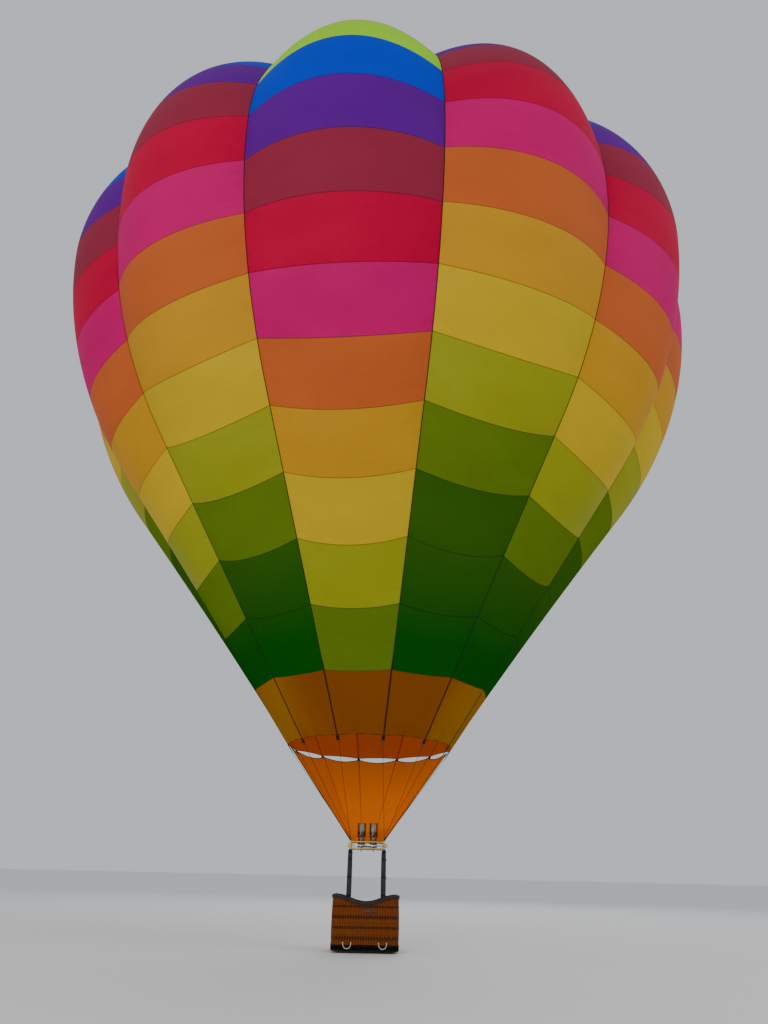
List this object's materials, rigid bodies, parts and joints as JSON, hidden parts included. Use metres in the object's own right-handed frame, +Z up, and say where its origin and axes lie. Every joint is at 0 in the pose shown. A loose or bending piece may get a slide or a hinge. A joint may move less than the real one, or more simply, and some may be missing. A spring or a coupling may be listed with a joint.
{
  "type": "hot air balloon",
  "caption": "Hot air balloon with a billowed gored envelope, parachute vent, scoop, gimballed twin burner and a wicker basket on padded uprights.",
  "frame": {"origin": "the centre of lift on the envelope's axis, 14.5 m above the underside of the basket's runners", "axes": "+Z up the envelope's axis, -Y to the front, where the scoop is open, +X to the right seen from the front"},
  "size_m": [17.6164, 17.6164, 22.6823],
  "materials": {
    "cloth_orange": "satin woven cloth",
    "cloth_yellow": "satin woven cloth",
    "cloth_amber": "satin woven cloth",
    "cloth_lime": "satin woven cloth",
    "cloth_pink": "satin woven cloth",
    "cloth_green": "satin woven cloth",
    "cloth_band": "matt heat-resistant cloth",
    "cloth_vent": "satin woven cloth",
    "cloth_scoop": "matt heat-resistant cloth",
    "tape_black": "woven tape",
    "wire_dark": "sheathed wire rope",
    "frame_alloy": "satin tube",
    "gimbal_alloy": "satin bar",
    "block_dark": "satin",
    "burner_steel": "heat-tinted sheet",
    "cover_padded": "matt padded cloth",
    "wicker": "woven cane",
    "rim_leather": "stitched hide over padding",
    "hide_black": "stitched hide",
    "floor_wood": "varnished ply",
    "runner_wood": "planed ash",
    "tank_cover": "matt padded cloth"
  },
  "bodies": {
    "root": {"gore_01": "cloth_orange", "gore_02": "cloth_yellow", "gore_03": "cloth_amber", "gore_04": "cloth_lime", "gore_05": "cloth_pink", "gore_06": "cloth_green", "gore_07": "cloth_orange", "gore_08": "cloth_yellow", "gore_09": "cloth_amber", "gore_10": "cloth_lime", "gore_11": "cloth_pink", "gore_12": "cloth_green", "mouth_band": "cloth_band", "crown_tapes": "tape_black", "scoop": "cloth_scoop", "flying_wires_front_right": "wire_dark", "flying_wires_rear_right": "wire_dark", "flying_wires_rear_left": "wire_dark", "flying_wires_front_left": "wire_dark", "burner_frame": "frame_alloy", "upright_front_right": "cover_padded", "upright_rear_right": "cover_padded", "upright_rear_left": "cover_padded", "upright_front_left": "cover_padded", "basket_body": "wicker", "basket_rim": "rim_leather", "basket_hide_band": "hide_black", "basket_floor": "floor_wood", "runner_1": "runner_wood", "runner_2": "runner_wood", "runner_3": "runner_wood", "fuel_tank_front_right": "tank_cover", "fuel_tank_rear_right": "tank_cover", "fuel_tank_rear_left": "tank_cover", "fuel_tank_front_left": "tank_cover"},
    "valve": {"parachute_valve": "cloth_vent"},
    "gimbal": {"gimbal_ring": "gimbal_alloy"},
    "burner": {"burner_block": "block_dark", "burner_left": "burner_steel", "burner_right": "burner_steel"}
  },
  "joints": [
    {"name": "valve_slide", "type": "slide", "parent": "root", "child": "valve", "axis": [0, 0, 1], "range_m": [-1.2, 0], "stiffness_N_per_m": 120, "springref_m": 0.6},
    {"name": "gimbal_tilt", "type": "hinge", "parent": "root", "child": "gimbal", "pos_m": [0, 0, -12.39], "axis": [1, 0, 0], "range_deg": [-10, 10]},
    {"name": "burner_tilt", "type": "hinge", "parent": "gimbal", "child": "burner", "pos_m": [0, 0, -12.39], "axis": [0, 1, 0], "range_deg": [-10, 10]}
  ]
}
